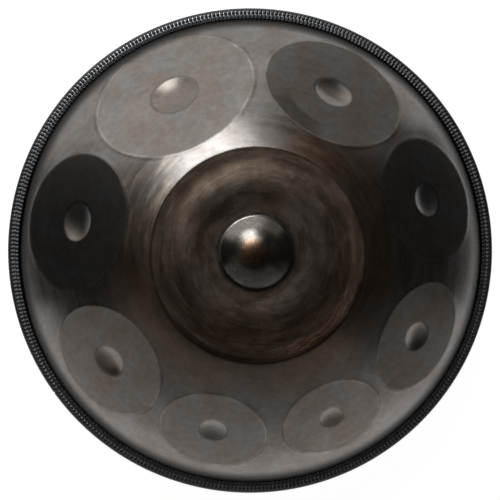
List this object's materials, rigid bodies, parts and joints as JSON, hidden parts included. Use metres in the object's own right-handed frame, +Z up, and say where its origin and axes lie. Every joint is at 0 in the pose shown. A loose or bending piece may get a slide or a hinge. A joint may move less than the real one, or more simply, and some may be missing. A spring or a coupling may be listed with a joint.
{
  "type": "handpan",
  "caption": "Round steel hand drum: two domed shells joined at the rim, a raised centre boss, a ring of dimpled note fields, a sound port below and a ribbed rubber edge trim.",
  "frame": {"origin": "centre of the flat ring round the sound port that the handpan rests on", "axes": "+Z up through the centre note, +X to the player's right, +Y away from the player"},
  "size_m": [0.5599, 0.56, 0.2398],
  "materials": {
    "top_steel": "heat-darkened nitrided steel, satin, mottled patina",
    "bottom_steel": "heat-darkened nitrided steel, satin",
    "glue": "cured structural glue",
    "trim_rubber": "ribbed black soft PVC, satin",
    "core_steel": "bare spring steel strip"
  },
  "bodies": {
    "root": {"top_shell": "top_steel", "bottom_shell": "bottom_steel", "flange_adhesive": "glue", "rim_trim": "trim_rubber", "trim_core": "core_steel", "trim_joint_glue": "glue"}
  },
  "joints": []
}
